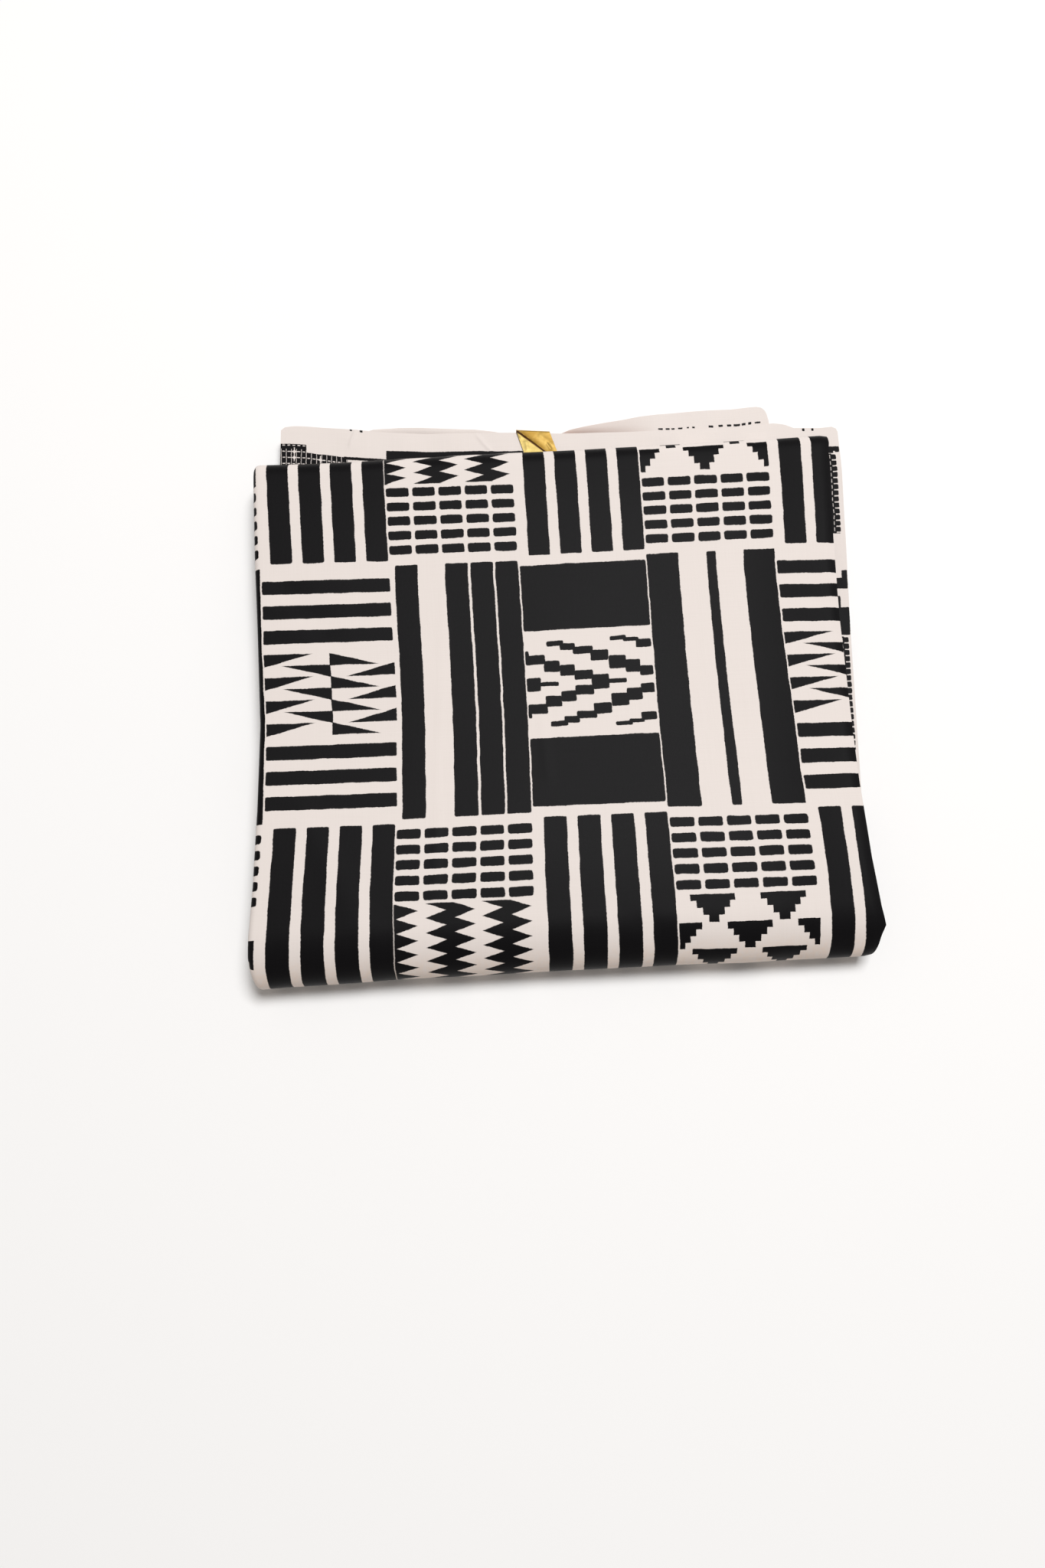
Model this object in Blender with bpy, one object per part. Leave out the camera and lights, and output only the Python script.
"""A folded length of printed cotton, as it is sold: about 5.5 m of cloth, 1.17 m wide.

The cloth is doubled selvedge to selvedge, laid to and fro in eighteen leaves about 310 mm
wide, and then folded in half over its front edge. So the bundle has an upper half, a soft
roll along the front, and a lower half that lies on the table and whose selvedges stick out
at the back. X runs along the front roll, Y from the front to the back, Z up. The origin is
under the middle of the bundle, on the table.
"""

import math

import bmesh
import bpy
import numpy as np

MM = 0.001

# Heights of the bundle, in millimetres
MIDDLE_HEIGHT = 25.0
BACK_RISE = 2.0
FRONT_SWELL = 4.0
PARTING = 12.0  # the upper half lies on the lower half at this height

# The front roll and the fold at the back of the upper half
ROLL_CENTRE = -127.2
ROLL_REACH = 25.0
ROLL_EASE = 14.0  # the flat stretches end this far short of the roll's middle line
FOLD_CENTRE = 116.8
FOLD_REACH = 9.0
FOLD_EASE = 3.0
FOLD_SLANT = 0.014  # the fold line runs a little backwards towards the right
SLANT_PIVOT = -4.0
SLANT_START = 7.0

# Cloth as it is built here: one leaf is a wall, with a seam's width between leaves
WALL = 1.2
GAP = 0.3
CURL = 3.2  # radius of the soft fold along the left edge
CURL_TURN = math.radians(135)
FLAT_START = 6.0  # the leaf's flat is divided into columns from here to its right edge

# The selvedge leaf, which lies between the two halves and shows behind and at the right
SELVEDGE_TOP = PARTING - GAP
NOTCH = 109.0  # behind this line the two halves part to let the selvedge leaf in
TUCK_END = NOTCH + 2.0  # the outer leaf turns in under the back fold as far as this
SELVEDGE_FRONT = NOTCH + 0.6
ARM_END = -96.0  # the strip along the right side runs forward as far as this
ARM_UNDER = 2.2  # and this far under the edge of the upper half
CORNER_RIGHT = 126.0  # the selvedge line turns into the sides at these two places
CORNER_LEFT = 134.0
LOWER_END = 134.0  # the last of the stations that divide the lower half

# Left and right edges of the two halves, a row for each section along Y
SECTION_COLUMNS = ("y", "upper_left", "upper_right", "lower_left", "lower_right")
SECTIONS = (
    (150.0, -160.2, 151.2, -147.4, 161.7),
    (118.0, -160.0, 150.8, -148.5, 161.2),
    (66.0, -159.3, 147.0, -150.3, 158.3),
    (22.0, -157.9, 145.2, -151.9, 155.0),
    (-22.0, -156.6, 145.0, -153.4, 152.0),
    (-67.0, -157.8, 144.2, -155.0, 149.4),
    (-105.0, -159.6, 145.2, -156.8, 147.3),
    (-130.0, -161.6, 146.7, -158.2, 146.0),
    (-139.0, -162.0, 148.3, -159.0, 145.0),
    (-144.0, -161.7, 145.6, -159.2, 144.0),
    (-154.0, -160.4, 143.2, -159.4, 142.0),
)

# The selvedges at the back of the lower half, a row for each turn of the line
BACK_EDGE_COLUMNS = ("x", "y")
BACK_EDGE = (
    (-148.0, 150.2),
    (-146.2, 152.2),
    (-140.0, 152.7),
    (-133.0, 152.2),
    (-120.0, 150.5),
    (-110.0, 149.3),
    (-88.0, 146.5),
    (-67.0, 144.8),
    (-38.0, 144.2),
    (-14.0, 143.4),
    (5.0, 141.8),
    (50.0, 141.4),
    (103.0, 141.5),
    (126.0, 143.2),
    (132.0, 142.2),
    (137.0, 139.7),
    (151.0, 139.3),
    (158.5, 139.8),
    (161.0, 138.4),
    (161.7, 135.6),
)

# The front roll stands out a little more towards its two ends
BOW_COLUMNS = ("x", "more")
FRONT_BOW = (
    (-160.0, 1.6),
    (-145.0, 1.1),
    (-105.0, 0.8),
    (-70.0, 0.4),
    (0.0, 0.2),
    (40.0, 0.4),
    (80.0, 0.9),
    (115.0, 0.8),
    (145.0, 0.4),
)

# Two leaves that stand out behind the others: how far past the selvedge line they reach
REACH_COLUMNS = ("x", "reach")
RAISED_LEAF = (
    (1.6, 0.0),
    (6.0, 2.6),
    (17.0, 4.8),
    (32.0, 6.2),
    (42.0, 7.1),
    (52.0, 8.6),
    (62.0, 9.4),
    (78.0, 10.4),
    (104.0, 10.8),
    (114.0, 10.9),
    (119.0, 9.7),
    (121.5, 8.0),
    (122.8, 5.5),
    (123.6, 2.5),
)
LEAF_ROOT = 2.0  # how far under the selvedge leaf they start
LEAF_LEVEL = 7.0
LEAF_CLIMB = 1.0
CLIMB_REACH = 7.0  # a leaf that reaches this far or more curves up in full
RAISED_RISE = 5.0
TUCKED_RISE = 2.5
TUCKED_LEAF = (
    (-104.0, 0.0),
    (-98.0, 2.6),
    (-91.0, 3.5),
    (-83.0, 4.2),
    (-70.0, 4.5),
    (-55.0, 4.1),
    (-41.0, 3.5),
    (-31.0, 2.4),
    (-24.0, 1.5),
    (-19.0, 0.0),
)

# The foil label over the selvedges
LABEL_WIDTH = 18.4
LABEL_THICK = 0.6
LABEL_CENTRE = -8.6
LABEL_LEAN = 6.0
LABEL_START = 121.4
LABEL_BEND = 3.0
LABEL_CLEAR = 0.4
LABEL_FOOT = 3.0

# The layers inside show along the sides as ridges, each some leaves thick
RIDGE_LEVELS = 13
RIDGE_DEPTH = 1.7
RIDGE_CREST = 0.35
RIDGE_TURN = 2.3  # radians of unevenness from one level to the next
RIDGE_WAVE = 0.021  # and for each millimetre along the side
SIDE_INSET = 1.0  # the inner leaves lie this far inside the edge of the outer leaf
ROOT_LEFT = CURL + 2.0
ROOT_RIGHT = 3.4  # where the halves part, the sides lie this far in
BACK_INSET = 2.4  # and the ends of the inner leaves this far inside the selvedge line

COLUMNS = 12
MERGE = 0.004


def smooth(t):
    """0 to 1 with a soft start and end."""
    t = min(max(t, 0.0), 1.0)
    return t * t * (3.0 - 2.0 * t)


def look_up(rows, columns, name, value):
    """Reads a column of a table at a place along its first column."""
    ordered = sorted(rows)
    places = [row[0] for row in ordered]
    return float(np.interp(value, places, [row[columns.index(name)] for row in ordered]))


def edge(name, y):
    return look_up(SECTIONS, SECTION_COLUMNS, name, y)


def back_edge(x):
    return look_up(BACK_EDGE, BACK_EDGE_COLUMNS, "y", x)


def top_height(y):
    """Height of the bundle: a shallow dish between the back fold and the front roll."""
    rise = BACK_RISE * smooth((y - 10.0) / 95.0)
    swell = FRONT_SWELL * smooth((-20.0 - y) / 95.0)
    return MIDDLE_HEIGHT + rise + swell


ROLL_UP = top_height(ROLL_CENTRE) - PARTING
FOLD_TOP = top_height(FOLD_CENTRE)
FOLD_HALF = (FOLD_TOP - PARTING) / 2
FOLD_MIDDLE = PARTING + FOLD_HALF


class Station:
    """One place along the path that a leaf takes from the back fold round to the selvedge."""

    def __init__(self, stretch, place):
        self.stretch = stretch
        self.place = place

    def point(self, inset, share=0.0):
        """Y and Z at an inset from the outer face, plus a share of the way to the inside."""
        if self.stretch == "top":
            outer = top_height(self.place) - inset
            return self.place, outer - share * (outer - PARTING)
        if self.stretch == "under":
            return self.place, inset + share * (PARTING - inset)
        if self.stretch == "tuck":
            return self.place, PARTING + inset
        if self.stretch == "fold":
            reach = FOLD_REACH - inset
            half = FOLD_HALF - inset
            centre, middle = FOLD_CENTRE, FOLD_MIDDLE
        else:
            reach = (ROLL_REACH - inset) * (1.0 - share)
            half = ROLL_UP if math.sin(self.place) > 0 else PARTING
            half = (half - inset) * (1.0 - share)
            centre, middle = ROLL_CENTRE, PARTING
        y = centre + reach * math.cos(self.place)
        return y, middle + half * math.sin(self.place)

    def edges(self):
        """Left and right edges of a leaf here, which change over from upper to lower."""
        y = self.point(0.0)[0]
        if self.stretch == "roll":
            under = smooth((self.place - math.pi * 0.75) / (math.pi * 0.5))
        else:
            under = 1.0 if self.stretch == "under" else 0.0
        sides = []
        for side in ("left", "right"):
            upper = edge("upper_" + side, y)
            lower = edge("lower_" + side, y)
            sides.append(upper + (lower - upper) * under)
        return sides


def spread(start, end, count):
    return [start + (end - start) * i / (count - 1) for i in range(count)]


def outer_stations():
    """From the end that is tucked under the back fold, over the top, round and back."""
    path = [Station("tuck", y) for y in (TUCK_END, FOLD_CENTRE - FOLD_EASE)]
    path += [Station("fold", a) for a in spread(-math.pi / 2, math.pi / 2, 9)]
    front = ROLL_CENTRE + ROLL_EASE
    path += [Station("top", y) for y in spread(FOLD_CENTRE - 3 * FOLD_EASE, front, 20)]
    path += [Station("roll", a) for a in spread(math.pi / 2, math.pi * 1.5, 15)]
    path += [Station("under", y) for y in spread(front, LOWER_END, 16)]
    return path


def settled(x, y, station):
    """The upper half's back end follows the slant of its fold line, and the roll its bow."""
    if station.stretch == "under":
        return y
    if station.stretch == "roll":
        return y + look_up(FRONT_BOW, BOW_COLUMNS, "more", x) * math.cos(station.place)
    return y + FOLD_SLANT * (x - SLANT_PIVOT) * smooth((y - NOTCH) / SLANT_START)


def add_object(name, bm, colour, roughness, metallic=0.0):
    """Makes an object with its own material from a closed mesh in millimetres."""
    bmesh.ops.remove_doubles(bm, verts=bm.verts, dist=MERGE)
    bmesh.ops.dissolve_degenerate(bm, edges=bm.edges, dist=MERGE)
    bmesh.ops.triangulate(bm, faces=bm.faces)
    bmesh.ops.recalc_face_normals(bm, faces=bm.faces)
    bmesh.ops.scale(bm, vec=(MM, MM, MM), verts=bm.verts)
    mesh = bpy.data.meshes.new(name)
    bm.to_mesh(mesh)
    bm.free()
    mesh.shade_smooth()
    mesh.set_sharp_from_angle(angle=math.radians(40))
    material = bpy.data.materials.new(name)
    material.use_nodes = True
    shader = material.node_tree.nodes["Principled BSDF"]
    shader.inputs["Base Color"].default_value = (*colour, 1.0)
    shader.inputs["Roughness"].default_value = roughness
    shader.inputs["Metallic"].default_value = metallic
    mesh.materials.append(material)
    thing = bpy.data.objects.new(name, mesh)
    bpy.context.collection.objects.link(thing)
    return thing


def grid_faces(bm, grid):
    """Faces between neighbouring rows of vertices."""
    for row, following in zip(grid, grid[1:]):
        for i in range(len(row) - 1):
            corners = (row[i], row[i + 1], following[i + 1], following[i])
            if len(set(corners)) == 4:
                bm.faces.new(corners)


def shell(outer, inner):
    """A closed wall between two grids of points of the same size."""
    bm = bmesh.new()
    face_out = [[bm.verts.new(p) for p in row] for row in outer]
    face_in = [[bm.verts.new(p) for p in row] for row in inner]
    grid_faces(bm, face_out)
    grid_faces(bm, [row[::-1] for row in face_in])
    for pick in (0, -1):
        grid_faces(bm, [face_out[pick], face_in[pick]])
        grid_faces(bm, [[row[pick] for row in face_out], [row[pick] for row in face_in]])
    return bm


def leaf_section(station, side):
    """Points across the outer leaf: the left curl, the flat of the leaf, the right edge.

    side is 0 for the outer face of the wall and 1 for the inner face.
    """
    left, right = station.edges()
    radius = CURL - WALL * side
    points = []
    for turn in spread(CURL_TURN, 0.0, 6):
        x = left + CURL - radius * math.sin(turn)
        y, z = station.point(CURL - radius * math.cos(turn))
        points.append((x, y, z))
    y, z = station.point(WALL * side)
    for x in spread(left + CURL + FLAT_START, right - WALL / 2, COLUMNS):
        points.append((x, y, z))
    points.append((right, *station.point(WALL / 2)))
    if station is OUTER_PATH[-1]:
        points = [(x, back_edge(x) - BACK_INSET, z) for x, _, z in points]
    return [(x, settled(x, y, station), z) for x, y, z in points]


OUTER_PATH = outer_stations()


def outer_leaf():
    """The leaf that shows: over the top, round the front roll and along the table."""
    faces = [[leaf_section(station, side) for station in OUTER_PATH] for side in (0, 1)]
    return add_object("outer_leaf", shell(*faces), (0.80, 0.75, 0.72), 0.9)


def level_share(level, y, upper):
    """How deep a level of the inner leaves lies, as a share of its half's thickness."""
    behind = y >= NOTCH
    ledge = (SELVEDGE_TOP - WALL - GAP - WALL - GAP) / (PARTING - WALL - GAP)
    if level < RIDGE_LEVELS:
        return ledge * level / (RIDGE_LEVELS - 1)
    if level == RIDGE_LEVELS or (behind and not upper):
        return ledge
    if behind:
        top = top_height(y) - WALL - GAP
        return (top - PARTING - WALL - GAP) / (top - PARTING)
    return 1.0


def ridge(level, place):
    """How far a level of the sides lies back: a fold stands out, the next gap lies in."""
    uneven = math.sin(RIDGE_TURN * level + RIDGE_WAVE * place)
    return (RIDGE_DEPTH if level % 2 == 0 else RIDGE_CREST) + RIDGE_CREST * uneven


def inner_edges(station, level, share, upper):
    """Left and right edge of the inner leaves at one level."""
    left, right = station.edges()
    y = station.point(0.0)[0]
    half = (top_height(y) if upper else 2 * PARTING) - PARTING
    depth = WALL + GAP + share * (half - WALL - GAP)
    if level < RIDGE_LEVELS:
        in_curl = depth < CURL * 1.85 or (upper and y >= NOTCH)
        held_in = CURL + GAP if in_curl else SIDE_INSET
        return left + held_in + ridge(level, y), right - SIDE_INSET - ridge(level, -y)
    root_left = max(edge("upper_left", y), edge("lower_left", y)) + ROOT_LEFT
    root_right = min(edge("upper_right", y), edge("lower_right", y)) - ROOT_RIGHT
    return root_left, root_right


def inner_station(station, notched):
    """All points of the inner leaves at one station: a row across for each level."""
    upper = station.stretch in ("top", "tuck", "fold")
    if station.stretch == "roll":
        upper = math.sin(station.place) > 0
    y_level = station.point(0.0)[0]
    at = NOTCH + 1.0 if notched else min(y_level, NOTCH - 1.0)
    rows = []
    for level in range(RIDGE_LEVELS + 2):
        share = level_share(level, at, upper)
        left, right = inner_edges(station, level, share, upper)
        row = []
        for x in spread(left, right, COLUMNS):
            y, z = station.point(WALL + GAP, share)
            row.append((x, settled(x, y, station), z))
        rows.append(row)
    return rows


def shape_ends(stations):
    """The lower half ends in selvedges, the upper half inside its back fold."""
    for level, row in enumerate(stations[0]):
        rung = min(level, RIDGE_LEVELS - 1)
        ends = [(x, back_edge(x) - BACK_INSET - ridge(rung, x), z) for x, _, z in row]
        stations[0][level] = ends
    half = FOLD_HALF - WALL - GAP
    for level, row in enumerate(stations[-1]):
        shaped = []
        for x, _, z in row:
            part = min(abs(z - FOLD_MIDDLE) / half, 1.0)
            y = FOLD_CENTRE + (FOLD_REACH - WALL - GAP) * math.sqrt(1.0 - part * part)
            shaped.append((x, settled(x, y, OUTER_PATH[0]), z))
        stations[-1][level] = shaped


def folded_leaves():
    """The leaves inside share one solid, with ridges along the sides and at the back."""
    front = ROLL_CENTRE + ROLL_EASE
    path = [(Station("under", y), True) for y in spread(LOWER_END, NOTCH, 3)]
    path += [(Station("under", y), False) for y in spread(NOTCH, front, 14)]
    path += [(Station("roll", a), False) for a in spread(math.pi * 1.5, math.pi / 2, 15)]
    path += [(Station("top", y), False) for y in spread(front, NOTCH, 14)]
    path += [(Station("top", y), True) for y in (NOTCH, FOLD_CENTRE - FOLD_EASE, FOLD_CENTRE)]
    first_notched = 3
    last_notched = len(path) - 3
    stations = [inner_station(*step) for step in path]
    shape_ends(stations)
    bm = bmesh.new()
    verts = [[[bm.verts.new(p) for p in row] for row in rows] for rows in stations]
    grid_faces(bm, [rows[0] for rows in verts])
    grid_faces(bm, [rows[-1][::-1] for rows in verts[: first_notched + 1]])
    grid_faces(bm, [rows[-1][::-1] for rows in verts[last_notched - 1 :]])
    for column in (0, -1):
        grid_faces(bm, [[row[column] for row in rows] for rows in verts])
    grid_faces(bm, verts[0])
    grid_faces(bm, verts[-1])
    used = {vert for face in bm.faces for vert in face.verts}
    bmesh.ops.delete(bm, geom=[v for v in bm.verts if v not in used], context="VERTS")
    return add_object("folded_leaves", bm, (0.74, 0.69, 0.66), 0.9)


def plate(name, outline, bottom, thick, colour, roughness, metallic=0.0):
    """A flat piece from its outline."""
    bm = bmesh.new()
    face = bm.faces.new([bm.verts.new((x, y, bottom)) for x, y in outline])
    raised = bmesh.ops.extrude_face_region(bm, geom=[face])["geom"]
    verts = [item for item in raised if isinstance(item, bmesh.types.BMVert)]
    bmesh.ops.translate(bm, vec=(0.0, 0.0, thick), verts=verts)
    return add_object(name, bm, colour, roughness, metallic)


def selvedge_leaf():
    """The top leaf of the lower half: its selvedge shows behind the fold and at the right."""
    outline = list(BACK_EDGE)
    outline += [(edge("lower_right", y), y) for y in spread(CORNER_RIGHT, ARM_END, 16)]
    inner = spread(ARM_END, SELVEDGE_FRONT, 15)
    outline += [(edge("upper_right", y) - ARM_UNDER, y) for y in inner]
    outline += [(edge("lower_left", y), y) for y in (SELVEDGE_FRONT, CORNER_LEFT)]
    bottom = SELVEDGE_TOP - WALL
    return plate("selvedge_leaf", outline, bottom, WALL, (0.84, 0.79, 0.76), 0.9)


def standing_leaf(name, rows, rise):
    """A leaf's selvedge that comes out of the back of the stack and curves up."""
    first, last = rows[0][0], rows[-1][0]
    faces = ([], [])
    for x in sorted({row[0] for row in rows} | set(spread(first, last, 12))):
        reach = look_up(rows, REACH_COLUMNS, "reach", x)
        start = back_edge(x) - LEAF_ROOT
        length = reach + LEAF_ROOT - WALL / 2
        climb = LEAF_CLIMB + rise * smooth(reach / CLIMB_REACH)
        face, under = [], []
        for t in spread(0.0, 1.0, 6):
            y, z = start + length * t, LEAF_LEVEL + climb * t * t
            lean = math.atan2(2.0 * climb * t, length)
            face.append((x, y, z))
            under.append((x, y + WALL * math.sin(lean), z - WALL * math.cos(lean)))
        faces[0].append(face)
        faces[1].append(under)
    return add_object(name, shell(*faces), (0.80, 0.74, 0.72), 0.9)


def foil_label():
    """A strip of foil that lies on the selvedge and is folded down over its edge."""
    under = SELVEDGE_TOP + GAP
    grids = ([], [])
    for side in spread(-0.5, 0.5, 4):
        start = LABEL_CENTRE + LABEL_WIDTH * side
        back = back_edge(start) + LABEL_CLEAR
        bend = back - LABEL_BEND
        inner = [(LABEL_START, under), (bend, under), (back, under), (back, LABEL_FOOT)]
        for grid, out in zip(grids, (LABEL_THICK, 0.0)):
            row = []
            for y, z in inner:
                lean = LABEL_LEAN * (back - y) / (back - LABEL_START)
                beyond = out if y == back else 0.0
                above = out if z == under else 0.0
                row.append((start + lean, y + beyond, z + above))
            grid.append(row)
    return add_object("foil_label", shell(*grids), (0.78, 0.55, 0.14), 0.35, 0.8)


def main():
    for thing in list(bpy.data.objects):
        bpy.data.objects.remove(thing)
    outer_leaf()
    folded_leaves()
    selvedge_leaf()
    standing_leaf("raised_leaf", RAISED_LEAF, RAISED_RISE)
    standing_leaf("tucked_leaf", TUCKED_LEAF, TUCKED_RISE)
    foil_label()


main()
